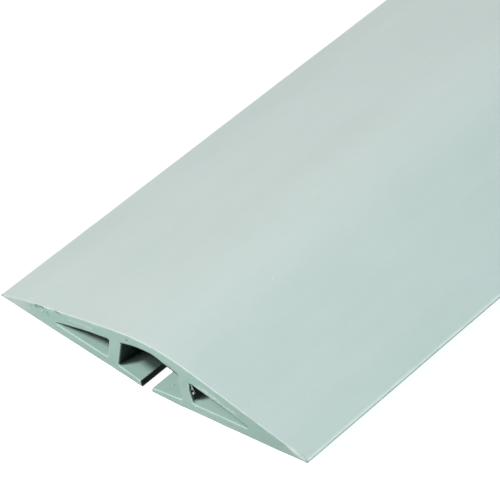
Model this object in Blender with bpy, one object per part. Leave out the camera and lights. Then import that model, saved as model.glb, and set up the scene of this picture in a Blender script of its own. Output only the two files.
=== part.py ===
"""Cable protector ramp: one length of a flexible PVC floor cord cover.

The real cover is one extrusion that moves only by flexing. It is modelled as the five members
that flex against each other: the crown over the cable channel, a hollow ramp on each side of it,
and the two base lips that meet at the slit, one on the foot of each ramp.

X runs across the strip, Y along it and Z up. Every outline is drawn in the XZ plane and extruded
along Y. A ramp and its lip are drawn flat on the floor, as "out" (distance from the centre plane)
and "up", then swung about the flex line in the roof to the slightly opened rest position. The lips
bend level again, because the strip stands on them.
"""

import bmesh
import bpy
from math import acos, asin, atan2, ceil, cos, hypot, pi, radians, sin

MM = 0.001

# Overall size of the strip lying flat.
WIDTH = 83.0 * MM
HEIGHT = 12.4 * MM
LENGTH = 300.0 * MM

# Roof over the cable channel, in the rest position.
CROWN_RADIUS = 55.0 * MM
ROOF_THICKNESS = 2.0 * MM
ROOF_UNDERSIDE_RADIUS = 22.0 * MM
HINGE_OUT = 4.6 * MM
REST_OPENING = radians(5.6)

# Hollow ramps.
TOE_LENGTH = 6.5 * MM
TOE_HEIGHT = 3.1 * MM
TOE_EDGE = 0.4 * MM
WEB_THICKNESS = 2.9 * MM
BASE_THICKNESS = 2.2 * MM
CHAMBER_TIP_OUT = 25.6 * MM
CHAMBER_TIP_HEIGHT = 0.35 * MM
CHAMBER_WALL_HEIGHT = 5.3 * MM
CHAMBER_TOP_BULGE = 0.35 * MM

# Base lips and the slit between them.
LIP_ROOT_THICKNESS = 2.0 * MM
LIP_TIP_THICKNESS = 1.0 * MM
SLIT_CENTRE_X = -1.3 * MM
SLIT_WIDTH = 1.0 * MM

# Gap left at every flex line.
FLEX_GAP = 0.3 * MM

# How far out each side's channel wall stands, at the roof and at its foot: the right wall leans.
CHANNEL_WALL_OUT = {"left": (8.2 * MM, 8.2 * MM), "right": (7.4 * MM, 8.0 * MM)}
SIDE_SIGN = {"left": -1, "right": 1}

ARC_STEP = radians(3.0)
KNUCKLE_STEP = radians(22.5)

COVER_COLOUR = (0.560, 0.640, 0.615, 1.0)
COVER_ROUGHNESS = 0.55


def remove_all_objects():
    for obj in list(bpy.data.objects):
        bpy.data.objects.remove(obj, do_unlink=True)


def arc(centre, radius, start, end, step=ARC_STEP):
    """Points on a circle, with angles measured from straight up towards +out."""
    count = max(2, ceil(abs(end - start) / step))
    angles = [start + (end - start) * i / count for i in range(count + 1)]
    return [(centre[0] + radius * sin(a), centre[1] + radius * cos(a)) for a in angles]


def turned(point, pivot, angle):
    """A point turned about a pivot, its out side going up for a positive angle."""
    out, up = point[0] - pivot[0], point[1] - pivot[1]
    return (pivot[0] + out * cos(angle) - up * sin(angle),
            pivot[1] + out * sin(angle) + up * cos(angle))


def midpoint(a, b):
    return ((a[0] + b[0]) / 2, (a[1] + b[1]) / 2)


def tangent_angle(centre, radius, point):
    """Angle on a circle of the tangent point whose tangent runs on out to the given point."""
    out, up = point[0] - centre[0], point[1] - centre[1]
    return atan2(out, up) - acos(radius / hypot(out, up))


# The roof's two arcs share the centre plane; heights are above the floor of the flat strip.
ROOF_TOP_CENTRE = (0.0, HEIGHT - CROWN_RADIUS)
ROOF_UNDERSIDE_CENTRE = (0.0, HEIGHT - ROOF_THICKNESS - ROOF_UNDERSIDE_RADIUS)
HINGE_TOP_ANGLE = asin(HINGE_OUT / CROWN_RADIUS)
HINGE_UNDERSIDE_ANGLE = asin(HINGE_OUT / ROOF_UNDERSIDE_RADIUS)
HINGE_TOP = arc(ROOF_TOP_CENTRE, CROWN_RADIUS, 0, HINGE_TOP_ANGLE)[-1]
HINGE_UNDERSIDE = arc(ROOF_UNDERSIDE_CENTRE, ROOF_UNDERSIDE_RADIUS, 0, HINGE_UNDERSIDE_ANGLE)[-1]
HINGE = midpoint(HINGE_TOP, HINGE_UNDERSIDE)
HINGE_RADIUS = (HINGE_TOP[1] - HINGE_UNDERSIDE[1]) / 2
CROWN_HALF_WIDTH = HINGE_OUT - HINGE_RADIUS - FLEX_GAP


def opened(point):
    """A point of the flat half, swung to its rest position about the flex line in the roof."""
    return turned(point, HINGE, REST_OPENING)


def lip_pivot(side):
    """Centre of a lip's round root, which faces the foot of the channel wall."""
    radius = LIP_ROOT_THICKNESS / 2
    return (CHANNEL_WALL_OUT[side][1] - FLEX_GAP - radius, radius)


def lip_tip_out(side):
    """How far out the slit's edge lies on this side; below zero where it passes the centre."""
    return SIDE_SIGN[side] * SLIT_CENTRE_X + SLIT_WIDTH / 2


def lip_at_rest(point, side):
    """A point of the flat lip at rest: its root follows the opened half, but it lies level."""
    flat, moved = lip_pivot(side), opened(lip_pivot(side))
    return (point[0] + moved[0] - flat[0], point[1] + moved[1] - flat[1])


# Opening the halves pushes the lips down, so the whole strip stands this much higher.
REST_LIFT = -min(lip_at_rest((0.0, 0.0), side)[1] for side in SIDE_SIGN)


def crown_outline():
    top_angle = asin(CROWN_HALF_WIDTH / CROWN_RADIUS)
    underside_angle = asin(CROWN_HALF_WIDTH / ROOF_UNDERSIDE_RADIUS)
    top = arc(ROOF_TOP_CENTRE, CROWN_RADIUS, -top_angle, top_angle)
    underside = arc(ROOF_UNDERSIDE_CENTRE, ROOF_UNDERSIDE_RADIUS, underside_angle, -underside_angle)
    return top + underside


def ramp_outline(side):
    wall_top_out, wall_foot_out = CHANNEL_WALL_OUT[side]
    half_width = WIDTH / 2
    toe_break = opened((half_width - TOE_LENGTH, TOE_HEIGHT))
    top_end = tangent_angle(ROOF_TOP_CENTRE, CROWN_RADIUS, toe_break)
    wall_top = asin(wall_top_out / ROOF_UNDERSIDE_RADIUS)
    root = arc(HINGE, HINGE_RADIUS, pi, 2 * pi, KNUCKLE_STEP)[1:-1]
    top = arc(ROOF_TOP_CENTRE, CROWN_RADIUS, HINGE_TOP_ANGLE, top_end)
    toe = [toe_break, opened((half_width, TOE_EDGE)), opened((half_width, 0.0))]
    foot = [opened((wall_foot_out, 0.0))]
    underside = arc(ROOF_UNDERSIDE_CENTRE, ROOF_UNDERSIDE_RADIUS, wall_top, HINGE_UNDERSIDE_ANGLE)
    return root + top + toe + foot + underside


def chamber_outline(side):
    """The hollow inside a ramp: a long triangle with its tall side against the web."""
    wall_top_out, wall_foot_out = CHANNEL_WALL_OUT[side]
    wall_foot = (wall_foot_out + WEB_THICKNESS, BASE_THICKNESS)
    wall_top = (wall_top_out + WEB_THICKNESS, BASE_THICKNESS + CHAMBER_WALL_HEIGHT)
    tip_top = (CHAMBER_TIP_OUT, BASE_THICKNESS + CHAMBER_TIP_HEIGHT)
    tip_floor = (CHAMBER_TIP_OUT, BASE_THICKNESS)
    bulge = midpoint(wall_top, tip_top)
    top_middle = (bulge[0], bulge[1] + CHAMBER_TOP_BULGE)
    return [opened(p) for p in (wall_foot, wall_top, top_middle, tip_top, tip_floor)]


def lip_outline(side):
    pivot = lip_pivot(side)
    root = arc(pivot, LIP_ROOT_THICKNESS / 2, 0, pi, KNUCKLE_STEP)
    tip_out = lip_tip_out(side)
    tip = [(tip_out, 0.0), (tip_out, LIP_TIP_THICKNESS)]
    return [lip_at_rest(p, side) for p in root + tip]


def placed(outline, side):
    """An out-and-up outline as x and z of the standing strip."""
    return [(SIDE_SIGN[side] * out, up + REST_LIFT) for out, up in outline]


def closed_loop(bm, outline):
    verts = [bm.verts.new((x, -LENGTH / 2, z)) for x, z in outline]
    return [bm.edges.new((verts[i - 1], verts[i])) for i in range(len(verts))]


def extruded(name, material, outline, hole=None):
    """A solid of one outline, and of the hole through it, extruded along the strip."""
    bm = bmesh.new()
    edges = closed_loop(bm, outline)
    if hole:
        edges += closed_loop(bm, hole)
    bmesh.ops.triangle_fill(bm, use_beauty=True, edges=edges)
    result = bmesh.ops.extrude_face_region(bm, geom=bm.faces[:])
    far_end = [item for item in result["geom"] if isinstance(item, bmesh.types.BMVert)]
    bmesh.ops.translate(bm, verts=far_end, vec=(0.0, LENGTH, 0.0))
    bmesh.ops.recalc_face_normals(bm, faces=bm.faces[:])
    mesh = bpy.data.meshes.new(name)
    bm.to_mesh(mesh)
    bm.free()
    mesh.shade_smooth()
    mesh.set_sharp_from_angle(angle=radians(30))
    mesh.materials.append(material)
    obj = bpy.data.objects.new(name, mesh)
    bpy.context.scene.collection.objects.link(obj)
    return obj


def cover_material():
    material = bpy.data.materials.new("flexible_pvc")
    material.use_nodes = True
    shader = material.node_tree.nodes["Principled BSDF"]
    shader.inputs["Base Color"].default_value = COVER_COLOUR
    shader.inputs["Roughness"].default_value = COVER_ROUGHNESS
    shader.inputs["Metallic"].default_value = 0.0
    return material


def set_origin(obj, point, side):
    """Put an object's origin on its flex line, leaving its mesh where it is."""
    (x, z), = placed([point], side)
    for vertex in obj.data.vertices:
        vertex.co.x -= x
        vertex.co.z -= z
    obj.location = (x, 0.0, z)


def build():
    remove_all_objects()
    material = cover_material()
    extruded("crown", material, placed(crown_outline(), "right"))
    for side in SIDE_SIGN:
        ramp = extruded(side + "_ramp", material, placed(ramp_outline(side), side),
                        placed(chamber_outline(side), side))
        set_origin(ramp, HINGE, side)
        lip = extruded(side + "_lip", material, placed(lip_outline(side), side))
        set_origin(lip, opened(lip_pivot(side)), side)


build()
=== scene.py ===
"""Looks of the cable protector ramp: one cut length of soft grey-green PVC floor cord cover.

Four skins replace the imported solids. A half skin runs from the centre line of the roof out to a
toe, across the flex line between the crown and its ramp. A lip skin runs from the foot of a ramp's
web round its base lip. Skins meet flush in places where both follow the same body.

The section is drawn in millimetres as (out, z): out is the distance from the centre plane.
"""

from math import acos, asin, atan2, ceil, cos, exp, hypot, pi, radians, sin, sqrt, tan

import bpy
import numpy as np
from mathutils import Matrix, Vector, noise
from mathutils.geometry import delaunay_2d_cdt


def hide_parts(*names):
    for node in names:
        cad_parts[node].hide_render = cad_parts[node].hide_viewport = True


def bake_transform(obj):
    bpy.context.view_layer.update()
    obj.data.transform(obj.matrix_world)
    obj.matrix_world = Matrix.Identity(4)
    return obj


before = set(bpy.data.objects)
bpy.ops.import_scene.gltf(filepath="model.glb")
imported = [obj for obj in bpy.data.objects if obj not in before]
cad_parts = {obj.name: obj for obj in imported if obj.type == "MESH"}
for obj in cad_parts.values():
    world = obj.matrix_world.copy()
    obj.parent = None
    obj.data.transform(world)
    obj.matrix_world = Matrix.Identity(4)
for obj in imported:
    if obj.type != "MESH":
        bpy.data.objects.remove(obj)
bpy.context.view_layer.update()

MM = 0.001
SIDE_SIGN = {"left": -1, "right": 1}

# ---------------------------------------------------------------- the CAD section, in mm
WIDTH = 83.0
HEIGHT = 12.4
LENGTH = 300.0
CROWN_RADIUS = 55.0
ROOF_THICKNESS = 2.0
ROOF_UNDERSIDE_RADIUS = 22.0
HINGE_OUT = 4.6
REST_OPENING = radians(5.6)
TOE_LENGTH = 6.5
TOE_HEIGHT = 3.1
TOE_EDGE = 0.4
WEB_THICKNESS = 2.9
BASE_THICKNESS = 2.2
CHAMBER_TIP_OUT = 25.6
CHAMBER_TIP_HEIGHT = 0.35
CHAMBER_WALL_HEIGHT = 5.3
CHAMBER_TOP_BULGE = 0.35
LIP_ROOT_THICKNESS = 2.0
FLEX_GAP = 0.3
CHANNEL_WALL_OUT = {"left": (8.2, 8.2), "right": (7.4, 8.0)}  # at the roof, at the floor

TOP_CENTRE = (0.0, HEIGHT - CROWN_RADIUS)
UNDER_CENTRE = (0.0, HEIGHT - ROOF_THICKNESS - ROOF_UNDERSIDE_RADIUS)


def on_circle(centre, radius, angle):
    """Point of a circle, with the angle measured from straight up towards +out."""
    return (centre[0] + radius * sin(angle), centre[1] + radius * cos(angle))


def arc(centre, radius, start, end, count):
    return [on_circle(centre, radius, start + (end - start) * i / count) for i in range(count + 1)]


def between(a, b, t):
    return (a[0] + (b[0] - a[0]) * t, a[1] + (b[1] - a[1]) * t)


HINGE_TOP = on_circle(TOP_CENTRE, CROWN_RADIUS, asin(HINGE_OUT / CROWN_RADIUS))
HINGE_UNDER = on_circle(UNDER_CENTRE, ROOF_UNDERSIDE_RADIUS,
                        asin(HINGE_OUT / ROOF_UNDERSIDE_RADIUS))
HINGE = between(HINGE_TOP, HINGE_UNDER, 0.5)


def opened(point):
    """A point of a flat half, swung to the rest opening about the flex line in the roof."""
    out, up = point[0] - HINGE[0], point[1] - HINGE[1]
    c, s = cos(REST_OPENING), sin(REST_OPENING)
    return (HINGE[0] + out * c - up * s, HINGE[1] + out * s + up * c)


def lip_root(side):
    """Centre of the lip's round root, before the halves open."""
    radius = LIP_ROOT_THICKNESS / 2
    return (CHANNEL_WALL_OUT[side][1] - FLEX_GAP - radius, radius)


# Opening a half raises its lip root, so the whole section comes down by the smaller of both rises.
LIFT = -min(opened(lip_root(side))[1] - lip_root(side)[1] for side in SIDE_SIGN)


def standing(points):
    """Section points at their height above the floor."""
    return [(out, up + LIFT) for out, up in points]


# ---------------------------------------------------------------- paths
FILLET_SHARE = 0.46     # longest share of a segment that the fillet at one end may take
FILLET_STEP = radians(14)
LEAST_TURN_COSINE = 0.6     # limits how far a sharp corner's offset is stretched


def rounded(points, radii, closed=False):
    """A polyline with its corners filleted: radii[i] belongs to points[i], in mm."""
    result = []
    last = len(points) - 1
    for i, (point, radius) in enumerate(zip(points, radii)):
        if radius <= 0 or (not closed and i in (0, last)):
            result.append(point)
            continue
        before, after = points[i - 1], points[(i + 1) % len(points)]
        a = np.array(before) - point
        b = np.array(after) - point
        la, lb = np.linalg.norm(a), np.linalg.norm(b)
        a, b = a / la, b / lb
        half = acos(max(-1.0, min(1.0, float(a @ b)))) / 2
        reach = min(radius / tan(half), FILLET_SHARE * la, FILLET_SHARE * lb)
        radius = reach * tan(half)
        middle = (a + b) / np.linalg.norm(a + b)
        centre = np.array(point) + middle * radius / sin(half)
        first, final = np.array(point) + a * reach - centre, np.array(point) + b * reach - centre
        sweep_angle = pi - 2 * half
        count = max(3, ceil(sweep_angle / FILLET_STEP))
        turn = np.sign(first[0] * final[1] - first[1] * final[0])
        for k in range(count + 1):
            t = turn * sweep_angle * k / count
            result.append((centre[0] + first[0] * cos(t) - first[1] * sin(t),
                           centre[1] + first[0] * sin(t) + first[1] * cos(t)))
    return result


def resampled(points, step, closed=False):
    """The same polyline with no segment longer than step."""
    result = []
    ends = points[1:] + (points[:1] if closed else [])
    for a, b in zip(points, ends):
        count = max(1, ceil(hypot(b[0] - a[0], b[1] - a[1]) / step))
        result += [between(a, b, k / count) for k in range(count)]
    return result if closed else result + [points[-1]]


def outward(points, closed=False):
    """Unit normals to the left of the path, and how much a corner's offset has to be stretched."""
    p = np.array(points)
    forward = np.roll(p, -1, 0) - p
    if not closed:
        forward[-1] = forward[-2]
    forward /= np.linalg.norm(forward, axis=1)[:, None]
    backward = np.roll(forward, 1, 0)
    if not closed:
        backward[0] = forward[0]
    tangent = forward + backward
    tangent /= np.linalg.norm(tangent, axis=1)[:, None]
    normal = np.stack([-tangent[:, 1], tangent[:, 0]], 1)
    turn_cosine = (normal * np.stack([-forward[:, 1], forward[:, 0]], 1)).sum(1)
    return normal, 1 / np.maximum(LEAST_TURN_COSINE, turn_cosine)


# ---------------------------------------------------------------- the section of each skin
def tangent_angle(centre, radius, point):
    """Angle on a circle at which its tangent runs through a point on the +out side."""
    out, up = point[0] - centre[0], point[1] - centre[1]
    return atan2(out, up) - acos(radius / hypot(out, up))


# Lower and upper corner of each lip's edge at the slit. The soft lips droop below the level ones
# of the solids, and the left one's cut face is slanted.
LIP_TIP = {"left": ((2.2, -0.56), (2.72, 0.86)), "right": ((0.25, -0.40), (0.45, 0.70))}
LIP_UNDER_BEND = (0.9, 0.04)    # how far inside the wall's foot the underside levels out, height
LIP_TOP_ROOT = 0.222            # height of the lip's top at the wall, as a share of the wall's
LIP_CORNERS = [0, 1.2, 1.5, 0.14, 0.2, 0.35, 0]
LIP_STEP = 0.35

SEAM_OUT = 0.25         # seam of half and lip skin: on the underside, mm out from the wall's foot
SEAM_HEIGHT = 0.31      # and on the channel wall, as a share of its height

OUTER_CORNERS = [0, 38, 0.22, 0.14, 0]
OUTER_STEP = 0.7
CROWN_STEPS = 26

ROOF_CORNER_ROUNDING = {"left": 0.3, "right": 1.5}
ROOF_SAG = 0.65
ROOF_SAG_WIDTH = 11.0
ROOF_STEPS = 9
INNER_STEP = 0.6

CHAMBER_CORNERS = [0.7, 0.15, 0.15, 60, 0.45, 2.0]
CHAMBER_KINK = {"left": 0.12, "right": 0.45}    # how far the hollow's wall bows into the web
CHAMBER_KINK_SHARE = 0.42
CHAMBER_STEP = 0.7


def wall(side):
    """Foot and roof end of the channel wall."""
    foot = opened((CHANNEL_WALL_OUT[side][1], 0.0))
    out = CHANNEL_WALL_OUT[side][0]
    roof = on_circle(UNDER_CENTRE, ROOF_UNDERSIDE_RADIUS, asin(out / ROOF_UNDERSIDE_RADIUS))
    return standing([foot, roof])


def toe():
    """Where the ramp turns into the toe, and the upper and lower corner of the toe's edge."""
    half = WIDTH / 2
    flat = [(half - TOE_LENGTH, TOE_HEIGHT), (half, TOE_EDGE), (half, 0.0)]
    return standing([opened(point) for point in flat])


def seam(side):
    """Where half and lip skins meet: a line across the web's foot, from underside to channel."""
    foot, roof = wall(side)
    under = between(foot, toe()[2], SEAM_OUT / (toe()[2][0] - foot[0]))
    return under, between(foot, roof, SEAM_HEIGHT)


def outer_path(side):
    """Roof top, ramp, toe and underside, from the centre plane to the seam."""
    toe_break, toe_top, toe_under = toe()
    end = tangent_angle(TOP_CENTRE, CROWN_RADIUS, opened((WIDTH / 2 - TOE_LENGTH, TOE_HEIGHT)))
    top = standing(arc(TOP_CENTRE, CROWN_RADIUS, 0, end, CROWN_STEPS))
    corners = [top[-1], toe_break, toe_top, toe_under, seam(side)[0]]
    return resampled(top[:-1] + rounded(corners, OUTER_CORNERS), OUTER_STEP)


def roof_sag(x):
    """The roof is a little thicker right of its middle."""
    return ROOF_SAG * sin(pi * x / ROOF_SAG_WIDTH) ** 2 if 0 < x < ROOF_SAG_WIDTH else 0.0


def roof_underside(x):
    """Height of the roof's underside at a signed distance from the centre plane."""
    return UNDER_CENTRE[1] + LIFT + sqrt(ROOF_UNDERSIDE_RADIUS ** 2 - x * x) - roof_sag(x)


def inner_path(side):
    """Channel wall and roof underside, from the seam to the centre plane."""
    outs = [CHANNEL_WALL_OUT[side][0] * k / ROOF_STEPS for k in range(ROOF_STEPS, -1, -1)]
    roof = [(out, roof_underside(SIDE_SIGN[side] * out)) for out in outs]
    corners = [seam(side)[1]] + roof
    radii = [0, ROOF_CORNER_ROUNDING[side]] + [0] * (len(roof) - 1)
    return resampled(rounded(corners, radii), INNER_STEP)


def chamber_path(side):
    """The hollow in a ramp, drawn with the hollow on its left."""
    wall_top_out, wall_foot_out = CHANNEL_WALL_OUT[side]
    foot = opened((wall_foot_out + WEB_THICKNESS, BASE_THICKNESS))
    top = opened((wall_top_out + WEB_THICKNESS, BASE_THICKNESS + CHAMBER_WALL_HEIGHT))
    tip_top = opened((CHAMBER_TIP_OUT, BASE_THICKNESS + CHAMBER_TIP_HEIGHT))
    tip_floor = opened((CHAMBER_TIP_OUT, BASE_THICKNESS))
    bulge = between(top, tip_top, 0.5)
    bulge = (bulge[0], bulge[1] + CHAMBER_TOP_BULGE)
    kink = between(top, foot, CHAMBER_KINK_SHARE)
    kink = (kink[0] - CHAMBER_KINK[side], kink[1])
    corners = standing([foot, tip_floor, tip_top, bulge, top, kink])
    return resampled(rounded(corners, CHAMBER_CORNERS, closed=True), CHAMBER_STEP, closed=True)


def lip_path(side):
    """Underside, slit edge and top of a base lip, from seam to seam."""
    foot, roof = wall(side)
    under, inside = seam(side)
    tip_under, tip_top = LIP_TIP[side]
    root_under = (foot[0] - LIP_UNDER_BEND[0], LIP_UNDER_BEND[1])
    root_top = between(foot, roof, LIP_TOP_ROOT)
    corners = [under, foot, root_under, tip_under, tip_top, root_top, inside]
    return resampled(rounded(corners, LIP_CORNERS), LIP_STEP)


# ---------------------------------------------------------------- the hand-cut ends
CUT_ROUNDING = 0.17
CUT_STEPS = 4
CUT_RELIEF_DEPTH = 0.8      # how far past the end the cut face's relief dies out
MARK_REACH = 1.6            # how far a mark's hollow reaches, in radii of the mark

# Marks the knife and handling left in the near cut face, in mm: (x, z, radius, depth, darkness).
CUT_MARKS = (
    (-32.0, 6.00, 0.45, 0.30, 0.60),
    (-31.1, 6.30, 0.32, 0.22, 0.45),
    (-30.4, 6.45, 0.36, 0.30, 0.55),
    (-28.9, 5.80, 0.32, 0.08, 0.25),
    (-28.6, 5.20, 0.28, 0.06, 0.20),
    (-26.0, 7.25, 0.34, 0.34, 0.55),
    (-26.6, 7.45, 0.24, 0.18, 0.35),
    (-33.6, 5.30, 0.26, 0.10, 0.25),
    (-6.5, 10.25, 0.24, 0.22, 0.55),
    (11.35, 7.6, 0.22, 0.15, 0.50),
    (36.2, 4.55, 0.8, 0.16, 0.10),
)
# Yellowed smears on the same face: (x, z, radius along x, radius along z, amount).
CUT_SMEARS = (
    (-17.3, 7.8, 1.2, 0.6, 0.28),
    (-2.6, 11.1, 1.3, 0.5, 0.30),
    (22.0, 6.6, 1.1, 0.5, 0.28),
)
# Ridges where the blade chattered, as (x, z) lines on the same face.
CUT_RIDGES = (
    ((12.3, 7.98), (15.0, 7.50), (17.6, 7.08), (20.4, 6.68), (23.2, 6.34)),
    ((13.4, 8.30), (16.2, 7.84), (19.0, 7.36)),
    ((-22.6, 7.05), (-19.4, 7.72), (-16.6, 8.20)),
)
RIDGE_WIDTH = 0.24
RIDGE_HEIGHT = 0.10
FAR_FROM_RIDGES = 9.0


def ridge(x, z):
    """0 to 1: how close a point of the cut face is to the crest of a chatter ridge."""
    best = FAR_FROM_RIDGES
    for line in CUT_RIDGES:
        if not line[0][0] - 1 < x < line[-1][0] + 1:
            continue
        for a, b in zip(line, line[1:]):
            dx, dz = b[0] - a[0], b[1] - a[1]
            t = max(0.0, min(1.0, ((x - a[0]) * dx + (z - a[1]) * dz) / (dx * dx + dz * dz)))
            best = min(best, hypot(x - a[0] - t * dx, z - a[1] - t * dz))
    broken = 0.55 + 0.75 * noise.noise(Vector((x * 1.4, z * 1.4, 6.0)))
    return exp(-(best / RIDGE_WIDTH) ** 2) * max(0.0, min(1.0, broken))


def cut_relief(x, z, near):
    """How far in the cut face stands along Y, in mm: slow waves, the knife's drag lines, marks."""
    seed = 0.0 if near else 41.0
    slow = noise.noise(Vector((x * 0.11 + seed, z * 0.22, 3.7)))
    drag = noise.noise(Vector((x * 0.22 + z * 0.9, z * 2.6 - x * 0.45 + seed, 9.1)))
    fine = noise.noise(Vector((x * 0.8 + seed, z * 5.5 - x * 0.9, 1.3)))
    depth = 0.07 * slow + 0.035 * drag + 0.012 * fine
    if near:
        depth -= RIDGE_HEIGHT * ridge(x, z)
        for mx, mz, radius, deep, _ in CUT_MARKS:
            d = hypot(x - mx, z - mz) / radius
            if d < MARK_REACH:
                t = 1 - d / MARK_REACH
                depth += deep * t ** 2 * (3 - 2 * t)
    return depth


def smooth(low, high, value):
    t = max(0.0, min(1.0, (value - low) / (high - low)))
    return t * t * (3 - 2 * t)


SHADED_ROOF_EDGE = resampled(inner_path("right"), 0.1)
ROOF_SHADE_X = (3.6, 4.4, 7.2, 7.8)     # where the painted shade begins, is full, starts to end and is over
ROOF_SHADE_ABOVE = 5.0
ROOF_SHADE_WIDTH = (0.32, 0.6)


def roof_edge_shade(x, z):
    """Painted shade along the underside edge of the roof, at the right end of the channel."""
    begin, full, ending, over = ROOF_SHADE_X
    if not (begin < x < over and z > ROOF_SHADE_ABOVE):
        return 0.0
    edge = min(hypot(x - px, z - pz) for px, pz in SHADED_ROOF_EDGE)
    along = smooth(begin, full, x) * (1 - smooth(ending, over, x))
    return 0.9 * along * (1 - smooth(*ROOF_SHADE_WIDTH, edge))


def cut_tint(x, z, near):
    """(paleness, darkness, smear, worn) of a point of the cut face."""
    dark, smear, crest = 0.0, 0.0, 0.0
    if near:
        crest = (0.85 if x > 0 else 0.6) * ridge(x, z)
        for mx, mz, radius, _, amount in CUT_MARKS:
            d = hypot(x - mx, z - mz) / radius
            dark = max(dark, amount * max(0.0, min(1.0, 1.5 - d)))
        for sx, sz, rx, rz, amount in CUT_SMEARS:
            d = hypot((x - sx) / rx, (z - sz) / rz)
            smear = max(smear, amount * max(0.0, 1 - d * d))
        # Painted shade along the roof's edge over the channel; the toes' outermost edges are
        # darkened too.
        dark = max(dark, roof_edge_shade(x, z), 0.55 * smooth(41.5, 42.2, abs(x)))
    worn = smooth(32.0, 37.0, -x) if x < 0 else smooth(37.5, 41.0, x)
    # Painted shade: the cut face darkens towards the right toe.
    dark = max(dark, 0.12 * smooth(12.0, 34.0, x))
    return crest, dark, smear, worn


DIMPLE_X, DIMPLE_Y, DIMPLE_RADIUS, DIMPLE_DEPTH = 5.0, -114.0, 4.0, 0.10
ROOF_TOP_ABOVE = 7


def surface_wave(x, y, z):
    """Unevenness of the surface, in mm: slow waves, faint die lines and a dimple in the top."""
    slow = noise.noise(Vector((x * 0.035 + 7.0, y * 0.022, z * 0.05)))
    middle = noise.noise(Vector((x * 0.11, y * 0.05 + 5.0, z * 0.1 + 2.0)))
    die = noise.noise(Vector((x * 0.9, y * 0.004 + 2.0, z * 0.9)))
    apart = hypot(x - DIMPLE_X, y - DIMPLE_Y) / DIMPLE_RADIUS
    dimple = DIMPLE_DEPTH * max(0.0, 1 - apart) ** 2 if z > ROOF_TOP_ABOVE else 0.0
    return 0.07 * slow + 0.03 * middle + 0.003 * die - dimple


def cut_y(x, z, near):
    """Y of the cut face at a point of the section."""
    return (-1 if near else 1) * (LENGTH / 2 - cut_relief(x, z, near))


COVER, CUT, SLIT, INNER = 0, 1, 2, 3


class Shell:
    """Vertices, faces and per-vertex values of one skin, in mm. The sign is its side's."""

    def __init__(self, sign):
        self.sign = sign
        self.verts, self.faces, self.slots = [], [], []
        self.rim, self.dark, self.smear, self.worn = [], [], [], []

    def vert(self, x, y, z, rim=0.0, dark=0.0, smear=0.0, worn=0.0):
        self.verts.append((x, y, z))
        self.rim.append(rim)
        self.dark.append(dark)
        self.smear.append(smear)
        self.worn.append(worn)
        return len(self.verts) - 1

    def face(self, indices, slot, flip=False):
        """One face, given as seen on the right side: the left one is its mirror image."""
        flip = flip != (self.sign < 0)
        self.faces.append(tuple(reversed(indices)) if flip else tuple(indices))
        self.slots.append(slot)

    def obj(self, name, materials):
        mesh = bpy.data.meshes.new(name)
        mesh.from_pydata([tuple(c * MM for c in v) for v in self.verts], [], self.faces)
        mesh.polygons.foreach_set("use_smooth", [True] * len(self.faces))
        for material in materials:
            mesh.materials.append(material)
        mesh.polygons.foreach_set("material_index", self.slots)
        for key in ("rim", "dark", "smear", "worn"):
            mesh.attributes.new(key, "FLOAT", "POINT").data.foreach_set("value", getattr(self, key))
        mesh.update()
        result = bpy.data.objects.new(name, mesh)
        bpy.context.scene.collection.objects.link(result)
        return result


def rounding_at(sign, out, z):
    """(inset, depth) of the cut edge's rounding: smaller where the section thins to the toe,
    and drawn out along the strip at the right toe, where the blade slid off."""
    thickness = TOE_EDGE + 0.52 * max(0.0, WIDTH / 2 + 0.9 - out)
    slid = smooth(34.5, 39.5, out) if sign > 0 and z > 3.5 else 0.25 * smooth(34.0, 39.0, out)
    inset = min(CUT_ROUNDING * (1 + 1.6 * slid), 0.34 * thickness)
    return inset, inset * (1 + 1.2 * slid)


LEVEL = 0.3     # a normal whose Z is past this, up or down, belongs to a floor or a ceiling
CLOSE_ROWS = (0.12, 0.35, 0.8, 1.3, 1.8, 2.5, 3.3, 4.1, 4.8)    # depths past the rounding
ROWS_EVEN_FROM = 5.5
EVEN_ROWS = 56


def rows():
    """(depth past the rounding, share of the rounding, share of the painted edge highlight and
    shade) of each row from one cut end.
    """
    first = [(None, i / CUT_STEPS, 1.0 if i < CUT_STEPS else 0.6) for i in range(CUT_STEPS + 1)]
    step = (LENGTH / 2 - ROWS_EVEN_FROM) / EVEN_ROWS
    depths = list(CLOSE_ROWS) + [ROWS_EVEN_FROM + step * i for i in range(EVEN_ROWS + 1)]
    return first + [(depth, 1.0, 0.0) for depth in depths]


def edge_highlight_and_shade(x, z, nz, kind, worn):
    """(paleness, darkness) of a cut edge: a painted highlight where it faces up, painted shade
    where it faces down.
    """
    patchy = max(0.25, min(1.0, 0.75 + 0.9 * noise.noise(Vector((x * 0.5, z * 0.5, 17.0)))))
    if kind == "outer":
        return (0.52 * nz ** 0.5 * patchy * (1 - 0.8 * worn), 0.0) if nz > 0 else (0.0, 0.34)
    if nz > LEVEL:
        return 0.38 * patchy, 0.0
    return (0.08, 0.0) if nz > -LEVEL else (0.0, 0.85)


# How far in from the cut ends the light reaches the lips' floors, in mm, before painted shade
# begins.
LEFT_LIP_LIT_REACH = 4.2
LEFT_LIP_ROOT_OUT = 8.3
RIGHT_LIP_LIT_REACH = 12.0


def roof_above(path, out, z):
    """Height of a hollow's roof over a point of its floor."""
    height = 0.0
    for a, b in zip(path, path[1:] + path[:1]):
        if a[0] != b[0] and (a[0] - out) * (b[0] - out) <= 0:
            height = max(height, a[1] + (b[1] - a[1]) * (out - a[0]) / (b[0] - a[0]) - z)
    return height


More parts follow.
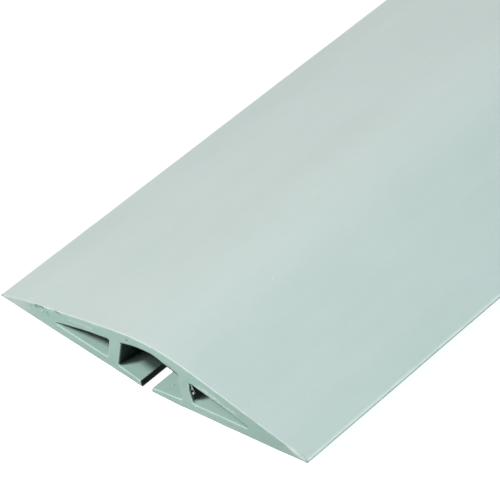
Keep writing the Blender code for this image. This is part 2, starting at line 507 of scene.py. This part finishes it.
def lit_depth(path, kind, sign, out, z):
    """How far in from a cut end the light reaches the floor of a hollow, before its painted shade
    begins: further where its roof is higher, less beside a wall, and to a fixed depth on the right
    lip."""
    if kind == "chamber":
        height = roof_above(path, out, z)
        return 0.6 * height if sign < 0 else min(0.85 * height, 0.9 + 1.4 * (out - path[0][0]))
    if sign > 0:
        return RIGHT_LIP_LIT_REACH
    return max(0.1, min(LEFT_LIP_LIT_REACH, 0.5 + 1.7 * (LEFT_LIP_ROOT_OUT - out)))


def painted_hollow_shade(kind, nz, deep, lit_reach):
    """Painted shade on the hollows' inner faces: their roofs and walls darken just past the cut
    end, their floors only past the depth that the light reaches.
    """
    if kind == "outer" or (kind == "lip" and nz < -LEVEL):
        return 0.0
    if nz > 0.5:
        return 0.94 * smooth(0.64 * lit_reach, 1.36 * lit_reach + 0.1, deep)
    return 0.975 * smooth(0.05, 0.45, deep)


def end_normals(path, closed):
    """Normals of a path, level with the other half's where it ends on the centre plane."""
    normal, stretch = outward(path, closed)
    if not closed and abs(path[0][0]) < 1e-9:
        normal[0] = (0.0, 1.0)
    if not closed and abs(path[-1][0]) < 1e-9:
        normal[-1] = (0.0, -1.0)
    return normal, stretch


TOE_EDGE_OUT = 0.55    # skin further than this past half the flat width is the toe's edge


def swept(shell, path, slot_of, kind, closed=False):
    """The surface along a path, from cut end to cut end. Returns both end rows."""
    normal, stretch = end_normals(path, closed)
    lit_reaches = [lit_depth(path, kind, shell.sign, *point) for point in path]
    plan = [(True,) + row for row in rows()] + [(False,) + row for row in reversed(rows()[:-1])]
    bands = []
    for near, depth, share, rim in plan:
        band = []
        for (out, z), (nx, nz), k, lit_reach in zip(path, normal, stretch, lit_reaches):
            flat, long = rounding_at(shell.sign, out, z)
            angle = share * pi / 2
            inset = flat * (1 - sin(angle)) * k if depth is None else 0.0
            deep = long * (1 - cos(angle))
            if depth is not None:
                deep = depth + long * max(0.0, 1 - depth / ROWS_EVEN_FROM)
            px, pz = shell.sign * (out - nx * inset), z - nz * inset
            relief = cut_relief(px, pz, near) * max(0.0, 1 - deep / CUT_RELIEF_DEPTH)
            y = (-1 if near else 1) * (LENGTH / 2 - deep - relief)
            wave = surface_wave(shell.sign * out, y, z)
            px += shell.sign * nx * wave
            pz += nz * wave
            _, dark, smear, worn = cut_tint(px, pz, near)
            # Painted highlight where the cut edge faces up, painted shade where it faces down.
            pale, edge_shade = edge_highlight_and_shade(px, pz, nz, kind, worn)
            if depth is not None:
                # Past the rounding, the inner faces take painted shade in place of the cut face's
                # marks.
                dark, smear, worn = painted_hollow_shade(kind, nz, depth, lit_reach), 0.0, 1.0
            pale, edge_shade = rim * pale, rim * edge_shade
            # The toe's edge along the strip: a painted highlight where it faces up, painted shade
            # below.
            if kind == "outer" and out > WIDTH / 2 + TOE_EDGE_OUT:
                toe_edge_highlight = 0.75 + 0.5 * noise.noise(Vector((y * 0.25, shell.sign * 3.0, 9.0)))
                pale = max(pale, toe_edge_highlight * smooth(0.1, 0.5, nz))
                edge_shade = max(edge_shade, 0.4 * (nz < 0.1))
            band.append(shell.vert(px, y, pz, pale, max(dark, edge_shade), smear, worn))
        bands.append(band)
    count = len(path)
    for a, b in zip(bands, bands[1:]):
        for i in range(count if closed else count - 1):
            j = (i + 1) % count
            shell.face((a[i], a[j], b[j], b[i]), slot_of(i))
    return bands[0], bands[-1]


def inside(points, loops):
    """Which points lie inside an odd number of the loops."""
    p = np.asarray(points)
    odd = np.zeros(len(p), bool)
    for loop in loops:
        a = np.asarray(loop)
        b = np.roll(a, -1, 0)
        for (x0, z0), (x1, z1) in zip(a, b):
            if z0 == z1:
                continue
            crosses = (z0 > p[:, 1]) != (z1 > p[:, 1])
            odd ^= crosses & (p[:, 0] < (x1 - x0) * (p[:, 1] - z0) / (z1 - z0) + x0)
    return odd


def clear_of(points, edges, gap):
    """Points farther than gap from every edge."""
    p = np.asarray(points)
    keep = np.ones(len(p), bool)
    for a, b in edges:
        a, b = np.asarray(a), np.asarray(b)
        d = b - a
        t = np.clip(((p - a) @ d) / max(1e-12, d @ d), 0, 1)
        keep &= np.linalg.norm(p - (a + t[:, None] * d), axis=1) > gap
    return p[keep]


def lattice(columns, lines):
    """All (out, z) pairs of the given columns and lines, as rows."""
    return np.stack(np.meshgrid(columns, lines), -1).reshape(-1, 2)


def with_marks(grid, sign):
    """A cut face's grid with the points around each mark replaced by closer ones."""
    patch = lattice(np.linspace(-1.3, 1.3, 11), np.linspace(-1.3, 1.3, 11))
    for mx, mz, radius, _, _ in CUT_MARKS:
        middle = (mx * sign, mz)
        apart = np.linalg.norm(grid - middle, axis=1) > radius * 1.4
        grid = np.concatenate([grid[apart], patch * radius + middle])
    return grid


def with_ridges(grid, sign):
    """A cut face's grid with the points beside each ridge replaced by rows along it."""
    for line in CUT_RIDGES:
        for a, b in zip(line, line[1:]):
            if a[0] * sign > 0:
                a, b = np.array(a) * (sign, 1), np.array(b) * (sign, 1)
                along = a + np.linspace(0, 1, 16)[:-1, None] * (b - a)
                side = np.array((a[1] - b[1], b[0] - a[0])) / np.linalg.norm(b - a)
                local = [along + side * k * RIDGE_WIDTH for k in (-2, -1, 0, 1, 2)]
                nearest = np.linalg.norm(grid[:, None] - along[None], axis=2).min(1)
                grid = np.concatenate([grid[nearest > 2.6 * RIDGE_WIDTH]] + local)
    return grid


GRID_STEP = (0.75, 0.5)
GRID_JITTER = 0.16
GRID_CLEARANCE = 0.13


def capped(shell, loops, near, slot):
    """A cut face inside closed loops of vertex indices. The first loop is the outside."""
    flat = [[(shell.verts[i][0] * shell.sign, shell.verts[i][2]) for i in loop] for loop in loops]
    edges = []
    for loop in flat:
        edges += list(zip(loop, loop[1:] + loop[:1]))
    low, high = np.min(flat[0], 0), np.max(flat[0], 0)
    rng = np.random.default_rng(5)
    grid = lattice(*(np.arange(low[k], high[k], GRID_STEP[k]) for k in (0, 1)))
    grid = grid + rng.uniform(-GRID_JITTER, GRID_JITTER, grid.shape)
    if near:
        grid = with_ridges(with_marks(grid, shell.sign), shell.sign)
    grid = grid[inside(grid, flat)]
    grid = clear_of(grid, edges, GRID_CLEARANCE)
    points = [p for loop in flat for p in loop]
    ring_edges, base = [], 0
    for loop in flat:
        ring_edges += [(base + i, base + (i + 1) % len(loop)) for i in range(len(loop))]
        base += len(loop)
    coords = [Vector(p) for p in points] + [Vector(p) for p in grid]
    out, _, triangles, origin, _, _ = delaunay_2d_cdt(coords, ring_edges, [], 0, 1e-7)
    known = [i for loop in loops for i in loop]
    mapped = []
    for place, source in zip(out, origin):
        old = [s for s in source if s < len(known)]
        if old:
            mapped.append(known[old[0]])
            continue
        x, z = place[0] * shell.sign, place[1]
        mapped.append(shell.vert(x, cut_y(x, z, near), z, *cut_tint(x, z, near)))
    middles = np.array([np.mean([out[i][:] for i in t], 0) for t in triangles])
    for t, keep in zip(triangles, inside(middles, flat)):
        if keep:
            shell.face([mapped[i] for i in t], slot, flip=not near)


def inner_ring(shell, row, path, near, closed=False):
    """A ring on the cut face just inside its rounded edge, where the painted highlight ends."""
    normal, stretch = end_normals(path, closed)
    ring = []
    for index, (out, z), (nx, nz), k in zip(row, path, normal, stretch):
        inset = 0.5 * rounding_at(shell.sign, out, z)[0] * k
        px = shell.verts[index][0] - shell.sign * nx * inset
        pz = shell.verts[index][2] - nz * inset
        pale, dark, smear, worn = cut_tint(px, pz, near)
        pale = max(pale, 0.45 * shell.rim[index])
        ring.append(shell.vert(px, cut_y(px, pz, near), pz, pale, dark, smear, worn))
    count = len(row)
    for i in range(count if closed else count - 1):
        j = (i + 1) % count
        quad = (row[i], ring[i], ring[j], row[j])
        shell.face(quad, CUT, flip=not near)
    return ring


def add_blob(shell, centre, size, seed, stretch, rim, dark=0.0):
    """A crumb of cut plastic: a small closed lump with an uneven surface, in mm."""
    base = len(shell.verts)
    rings, around = 6, 9
    for i in range(rings + 1):
        a = pi * i / rings
        for j in range(around):
            b = 2 * pi * j / around
            d = Vector((sin(a) * cos(b), sin(a) * sin(b), cos(a)))
            bump = 1 + 0.45 * noise.noise(d * 1.7 + Vector((seed, seed * 0.37, 0)))
            p = Vector(centre) + d * Vector(stretch) * size * bump
            shell.vert(p.x, p.y, p.z, rim, dark)
    flip = shell.sign < 0
    for i in range(rings):
        for j in range(around):
            k = (j + 1) % around
            quad = (base + i * around + j, base + (i + 1) * around + j,
                    base + (i + 1) * around + k, base + i * around + k)
            shell.face(quad, CUT, flip=flip)


def add_whisker(shell, points, radius):
    """A thin shred of plastic left by the knife, tapering to its end, in mm."""
    around = 6
    bands = []
    for i, p in enumerate(points):
        t = i / (len(points) - 1)
        r = radius * (1 - 0.8 * t)
        ahead = Vector(points[min(i + 1, len(points) - 1)]) - Vector(points[max(i - 1, 0)])
        ahead.normalize()
        u = ahead.cross(Vector((0.3, 0.2, 0.9))).normalized()
        v = ahead.cross(u)
        angles = [2 * pi * k / around for k in range(around)]
        ring = [Vector(p) + u * r * cos(angle) + v * r * sin(angle) for angle in angles]
        bands.append([shell.vert(*place, 0.8) for place in ring])
    flip = shell.sign < 0
    for a, b in zip(bands, bands[1:]):
        for k in range(around):
            j = (k + 1) % around
            shell.face((a[k], b[k], b[j], a[j]), CUT, flip=flip)
    shell.face(list(reversed(bands[0])), CUT, flip=flip)
    shell.face(bands[-1], CUT, flip=flip)


BRIDGE_STEP = 0.5


def bridge(shell, start, end, near):
    """Vertices across a seam between two existing ones, at the same places in both skins."""
    a = (shell.verts[start][0], shell.verts[start][2])
    b = (shell.verts[end][0], shell.verts[end][2])
    count = max(1, ceil(hypot(b[0] - a[0], b[1] - a[1]) / BRIDGE_STEP))
    made = []
    for k in range(1, count):
        x, z = between(a, b, k / count)
        made.append(shell.vert(x, cut_y(x, z, near), z, *cut_tint(x, z, near)))
    return made


def half_skin(side, materials):
    """Roof, ramp, toe, underside, web and hollow of one half, with both cut faces."""
    shell = Shell(SIDE_SIGN[side])
    outer, inner, hollow = outer_path(side), inner_path(side), chamber_path(side)
    outer_ends = swept(shell, outer, lambda i: COVER, "outer")
    inner_ends = swept(shell, inner, lambda i: INNER, "inner")
    hollow_ends = swept(shell, hollow, lambda i: INNER, "chamber", closed=True)
    for near in (True, False):
        k = 0 if near else 1
        a = inner_ring(shell, outer_ends[k], outer, near)
        b = inner_ring(shell, inner_ends[k], inner, near)
        c = inner_ring(shell, hollow_ends[k], hollow, near, closed=True)
        loop = a + bridge(shell, a[-1], b[0], near) + b + bridge(shell, b[-1], a[0], near)
        capped(shell, [loop, c], near, CUT)
    add_crumbs(shell, side)
    return shell.obj(side + "_half_skin", materials)


def add_crumbs(shell, side):
    """Crumbs and a shred on the near cut face and in the hollow, and specks on the surface."""
    face = -LENGTH / 2
    if side == "left":
        add_blob(shell, (-30.4, face - 0.08, 5.60), 0.24, 2.0, (1.1, 0.6, 0.8), 0.7)
        add_blob(shell, (-31.7, face - 0.03, 6.40), 0.15, 3.1, (1.2, 0.7, 0.8), 0.5)
        add_blob(shell, (-25.9, face - 0.04, 7.30), 0.20, 4.7, (1.0, 0.8, 0.9), 0.6)
        add_blob(shell, (-27.3, face - 0.03, 7.10), 0.12, 5.9, (1.5, 0.7, 0.7), 0.6)
        add_blob(shell, (-10.3, face + 0.3, 11.32), 0.14, 6.4, (1.3, 1.0, 0.6), 0.8)
    else:
        add_blob(shell, (11.15, face + 0.45, 6.20), 0.26, 8.2, (0.8, 1.0, 1.1), 0.1, 0.35)
        add_blob(shell, (11.70, face + 0.20, 5.45), 0.25, 9.4, (0.9, 1.0, 1.0), 1.0)
        whisker = [(11.0, face + 0.20, 7.6), (11.4, face + 0.05, 7.2), (11.8, face - 0.05, 6.8),
                   (12.2, face - 0.02, 6.4), (12.3, face + 0.10, 6.0)]
        add_whisker(shell, whisker, 0.08)
        add_blob(shell, (12.0, face + 14.0, 8.2), 0.12, 3.9, (1.5, 1.5, 0.5), 0.8)
        add_blob(shell, (6.1, face + 34.0, 11.80), 0.20, 6.6, (0.7, 1.6, 0.5), 1.0)


SLIT_EDGE_REACH = 0.22      # how far past the lip's corners the cut edge painted dark as shade reaches
LIP_UNDERSIDE_BELOW = 0.2   # the rest of the lip's surface below this height is its underside


def lip_skin(side, materials):
    """One base lip, with both cut faces and its edge at the slit painted dark as shade."""
    shell = Shell(SIDE_SIGN[side])
    path = lip_path(side)
    tip_out = max(out for out, _ in LIP_TIP[side])
    tip_low = LIP_TIP[side][0][1]

    def slot_of(i):
        out, z = between(path[i], path[i + 1], 0.5)
        if out < tip_out + SLIT_EDGE_REACH and z > tip_low + 0.01:
            return SLIT
        return COVER if z < LIP_UNDERSIDE_BELOW else INNER

    ends = swept(shell, path, slot_of, "lip")
    for near in (True, False):
        row = ends[0 if near else 1]
        a = inner_ring(shell, row, path, near)
        loop = a + list(reversed(bridge(shell, a[0], a[-1], near)))
        capped(shell, [loop], near, CUT)
    if side == "right":
        add_blob(shell, (3.8, 2.9 - LENGTH / 2, 1.38), 0.15, 5.1, (1.2, 1.2, 0.5), 0.9)
    return shell.obj(side + "_lip_skin", materials)


# ---------------------------------------------------------------- materials
def node(tree, kind, **inputs):
    """A node of a material with some of its inputs set."""
    made = tree.nodes.new(kind)
    for key, value in inputs.items():
        made.inputs[key.replace("_", " ")].default_value = value
    return made


def ramp(tree, source, stops):
    """A colour ramp of (position, colour) stops, fed from a socket."""
    made = tree.nodes.new("ShaderNodeValToRGB")
    elements = made.color_ramp.elements
    elements[0].position, elements[0].color = stops[0][0], (*stops[0][1], 1)
    elements[1].position, elements[1].color = stops[-1][0], (*stops[-1][1], 1)
    for position, colour in stops[1:-1]:
        elements.new(position).color = (*colour, 1)
    tree.links.new(source, made.inputs["Fac"])
    return made.outputs["Color"]


def mixed(tree, factor, a, b, mode="MIX"):
    """Two colours mixed; each of the three is a socket or a constant."""
    made = tree.nodes.new("ShaderNodeMix")
    made.data_type = "RGBA"
    made.blend_type = mode
    for index, value in ((0, factor), (6, a), (7, b)):
        if isinstance(value, bpy.types.NodeSocket):
            tree.links.new(value, made.inputs[index])
        else:
            made.inputs[index].default_value = value if index == 0 else (*value, 1)
    return made.outputs[2]


def scaled_noise(tree, coords, stretch, scale, detail, roughness=0.5):
    """Noise over object coordinates stretched per axis; scale is in cycles per metre."""
    mapping = tree.nodes.new("ShaderNodeMapping")
    mapping.inputs["Scale"].default_value = stretch
    tree.links.new(coords, mapping.inputs["Vector"])
    made = node(tree, "ShaderNodeTexNoise", Scale=scale, Detail=detail, Roughness=roughness)
    tree.links.new(mapping.outputs["Vector"], made.inputs["Vector"])
    return made.outputs["Fac"]


def combined(tree, a, b, operation):
    """Two numbers combined; each is a socket or a constant."""
    made = tree.nodes.new("ShaderNodeMath")
    made.operation = operation
    for index, value in enumerate((a, b)):
        if isinstance(value, bpy.types.NodeSocket):
            tree.links.new(value, made.inputs[index])
        else:
            made.inputs[index].default_value = value
    return made.outputs[0]


def attribute(tree, name):
    """A per-vertex value of the skin."""
    made = tree.nodes.new("ShaderNodeAttribute")
    made.attribute_name = name
    return made.outputs["Fac"]


def pvc(name, tones, rim_colour, rough, streaks, grain, worn_tone=None):
    """Soft PVC: mottled base colour, faint lines, dust specks and a fine grain bump.

    streaks stretches the noise of the lines per axis, and grain is the scale of the fine grain,
    its height and the lines' height. worn_tone shows where the surface isn't freshly cut.
    """
    material = bpy.data.materials.new(name)
    material.use_nodes = True
    tree = material.node_tree
    shader = tree.nodes["Principled BSDF"]
    coords = tree.nodes.new("ShaderNodeTexCoord").outputs["Object"]
    cloud = scaled_noise(tree, coords, (1.0, 0.55, 1.0), 55, 4, 0.55)
    lines = scaled_noise(tree, coords, streaks, 1, 3, 0.6)
    dust = scaled_noise(tree, coords, (1, 1, 1), 2400, 2, 0.7)
    colour = ramp(tree, cloud, [(0.30, tones[0]), (0.5, tones[1]), (0.72, tones[2])])
    line_tint = ramp(tree, lines, [(0.35, (0.985, 0.988, 0.988)), (0.62, (1, 1, 1))])
    colour = mixed(tree, 1.0, colour, line_tint, "MULTIPLY")
    specks = ramp(tree, dust, [(0.20, (0.90, 0.92, 0.92)), (0.32, (1, 1, 1)), (1.0, (1, 1, 1))])
    colour = mixed(tree, 1.0, colour, specks, "MULTIPLY")
    if worn_tone:
        colour = mixed(tree, attribute(tree, "worn"), colour, worn_tone)
    colour = mixed(tree, attribute(tree, "smear"), colour, YELLOWED)
    # The rim value mixes in the pale colour: mostly a painted highlight on edges, also pale crumbs
    # and ridges.
    colour = mixed(tree, attribute(tree, "rim"), colour, rim_colour)
    # The dark value mixes in painted shade and the dark knife marks.
    colour = mixed(tree, attribute(tree, "dark"), colour, DARK_MARKS_AND_SHADE)
    tree.links.new(colour, shader.inputs["Base Color"])
    rough_tone = ramp(tree, cloud, [(0.3, (rough - 0.05,) * 3), (0.7, (rough + 0.06,) * 3)])
    tree.links.new(rough_tone, shader.inputs["Roughness"])
    fine = scaled_noise(tree, coords, (1, 1, 1), grain[0], 3, 0.6)
    grains = combined(tree, fine, grain[1], "MULTIPLY")
    furrows = combined(tree, lines, grain[2], "MULTIPLY")
    height = combined(tree, grains, furrows, "ADD")
    bump = node(tree, "ShaderNodeBump", Strength=0.5, Distance=0.0002)
    tree.links.new(height, bump.inputs["Height"])
    tree.links.new(bump.outputs["Normal"], shader.inputs["Normal"])
    shader.inputs["Specular IOR Level"].default_value = 0.35
    return material


YELLOWED = (0.62, 0.60, 0.42)
# Colour of the dark value: mostly painted shade in the hollows, along the roof's edge and on
# downward-facing edges, and the dark knife marks.
DARK_MARKS_AND_SHADE = (0.026, 0.044, 0.040)
# The outer surface is a paler, greyer copy of the cut face's colour: a painted sheen of the lights.
COVER_TONES_WITH_SHEEN = ((0.500, 0.590, 0.565), (0.520, 0.606, 0.582), (0.540, 0.622, 0.598))
CUT_TONES = ((0.350, 0.515, 0.452), (0.375, 0.540, 0.482), (0.405, 0.562, 0.512))
# The inner faces are a lighter copy of the cut face's colour: painted light.
INNER_PAINTED_LIGHT_TONES = ((0.430, 0.635, 0.565), (0.455, 0.660, 0.590), (0.480, 0.680, 0.615))
# The slit's faces are painted near black, as painted shade.
SLIT_SHADE_TONES = ((0.030, 0.050, 0.044), (0.040, 0.062, 0.055), (0.055, 0.080, 0.070))
# Pale colour of the rim value: painted highlight on upward-facing edges and the toe's edge, and the
# pale crumbs, shred and blade ridges.
PALE_AND_HIGHLIGHT = (0.74, 0.82, 0.78)
SLIT_RIM = (0.10, 0.13, 0.12)
# How the noise of the lines is stretched along X, Y and Z.
DRAG_LINES = (260, 900, 1500)
DIE_LINES = (700, 5, 700)
COVER_DIE_LINES = (420, 5, 420)

cover = pvc("flexible_pvc_cover", COVER_TONES_WITH_SHEEN, PALE_AND_HIGHLIGHT, 0.52, COVER_DIE_LINES, (1500, 0.5, 0.35))
inner = pvc("flexible_pvc_inner", INNER_PAINTED_LIGHT_TONES, PALE_AND_HIGHLIGHT, 0.56, DIE_LINES, (1500, 0.5, 0.6))
cut = pvc("flexible_pvc_cut_face", CUT_TONES, PALE_AND_HIGHLIGHT, 0.60, DRAG_LINES, (2200, 0.8, 0.9),
          worn_tone=COVER_TONES_WITH_SHEEN[0])
slit = pvc("flexible_pvc_slit_edge_painted_shade", SLIT_SHADE_TONES, SLIT_RIM, 0.65, DIE_LINES, (1500, 0.5, 0.6))
MATERIALS = [cover, cut, slit, inner]   # in the order of COVER, CUT, SLIT and INNER


for side in SIDE_SIGN:
    half = half_skin(side, MATERIALS)
    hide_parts(side + "_ramp", "crown")
    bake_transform(half)
    lip = lip_skin(side, MATERIALS)
    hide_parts(side + "_lip")
    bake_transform(lip)


# ---------------------------------------------------------------- floor, light, camera
def floor_material():
    """Pale seamless floor: a white sheet to the eye, a soft grey one to the light it bounces."""
    material = bpy.data.materials.new("studio_floor")
    material.use_nodes = True
    tree = material.node_tree
    tree.nodes.clear()
    seen = node(tree, "ShaderNodeEmission", Color=(1, 1, 1, 1), Strength=0.86)
    paper = node(tree, "ShaderNodeBsdfDiffuse", Color=(0.62, 0.62, 0.61, 1))
    both = tree.nodes.new("ShaderNodeAddShader")
    tree.links.new(seen.outputs[0], both.inputs[0])
    tree.links.new(paper.outputs[0], both.inputs[1])
    dull = node(tree, "ShaderNodeBsdfDiffuse", Color=(0.42, 0.42, 0.41, 1))
    path = tree.nodes.new("ShaderNodeLightPath")
    mix = tree.nodes.new("ShaderNodeMixShader")
    tree.links.new(path.outputs["Is Camera Ray"], mix.inputs["Fac"])
    tree.links.new(dull.outputs[0], mix.inputs[1])
    tree.links.new(both.outputs[0], mix.inputs[2])
    output = tree.nodes.new("ShaderNodeOutputMaterial")
    tree.links.new(mix.outputs[0], output.inputs["Surface"])
    return material


FLOOR_REACH = 4.0
FLOOR_Z = -0.0007       # just below the drooping lips


def add_floor():
    mesh = bpy.data.meshes.new("floor")
    corners = [(-1, -1), (1, -1), (1, 1), (-1, 1)]
    places = [(x * FLOOR_REACH, y * FLOOR_REACH, FLOOR_Z) for x, y in corners]
    mesh.from_pydata(places, [], [(0, 1, 2, 3)])
    mesh.materials.append(floor_material())
    floor = bpy.data.objects.new("floor", mesh)
    bpy.context.scene.collection.objects.link(floor)


# (name, place, aim, diameter, watts, colour)
LIGHTS = (
    ("key", (-0.22, -0.95, 0.80), (0, -0.12, 0), 0.42, 13.3, (1.0, 0.995, 0.99)),
    ("back", (-0.70, 0.75, 0.85), (0, 0.0, 0), 0.80, 6.0, (1.0, 0.85, 0.85)),
    ("fill", (0.65, 0.10, 0.95), (0, 0.0, 0), 0.60, 2.2, (0.78, 0.98, 1.0)),
    ("side", (1.05, 0.15, 0.33), (0, 0.0, 0), 0.35, 2.6, (0.50, 1.0, 1.0)),
)


def add_light(name, place, target, size, power, colour):
    data = bpy.data.lights.new(name, "AREA")
    data.shape = "DISK"
    data.size = size
    data.energy = power
    data.color = colour
    light = bpy.data.objects.new(name, data)
    light.location = place
    light.rotation_euler = (Vector(target) - Vector(place)).to_track_quat("-Z", "Y").to_euler()
    bpy.context.scene.collection.objects.link(light)


def add_world():
    world = bpy.data.worlds.new("studio")
    world.use_nodes = True
    background = world.node_tree.nodes["Background"]
    background.inputs["Color"].default_value = (0.90, 0.97, 1.0, 1)
    background.inputs["Strength"].default_value = 0.13
    bpy.context.scene.world = world


# Camera of the main view, which aims aside of and above the middle of the near end's floor line.
# Distances are in mm, and the focal length is in 500ths of the picture's width.
CAMERA_AZIMUTH = radians(38.9263)
CAMERA_ELEVATION = radians(40.2223)
CAMERA_DISTANCE = 870.54
CAMERA_FOCAL = 4090.87
CAMERA_ASIDE = 21.124
CAMERA_ABOVE = 29.714
PICTURE_WIDTH = 500
SENSOR = 36.0


def add_camera():
    a, e = CAMERA_AZIMUTH, CAMERA_ELEVATION
    right = Vector((cos(a), sin(a), 0))
    ahead = Vector((-sin(a) * cos(e), cos(a) * cos(e), -sin(e)))
    up = Vector((-sin(a) * sin(e), cos(a) * sin(e), cos(e)))
    aim = Vector((0, -LENGTH / 2, 0)) + right * CAMERA_ASIDE + up * CAMERA_ABOVE
    data = bpy.data.cameras.new("camera")
    data.sensor_width = SENSOR
    data.lens = CAMERA_FOCAL / PICTURE_WIDTH * SENSOR
    data.clip_start = 0.01
    data.clip_end = 20
    camera = bpy.data.objects.new("camera", data)
    turn = Matrix((right, up, -ahead)).transposed().to_4x4()
    camera.matrix_world = Matrix.Translation((aim - ahead * CAMERA_DISTANCE) * MM) @ turn
    bpy.context.scene.collection.objects.link(camera)
    bpy.context.scene.camera = camera


add_floor()
for light in LIGHTS:
    add_light(*light)
add_world()
add_camera()

scene = bpy.context.scene
scene.view_settings.view_transform = "Standard"
scene.view_settings.look = "None"
scene.view_settings.exposure = 0.0
scene.view_settings.gamma = 1.0

bpy.context.view_layer.update()
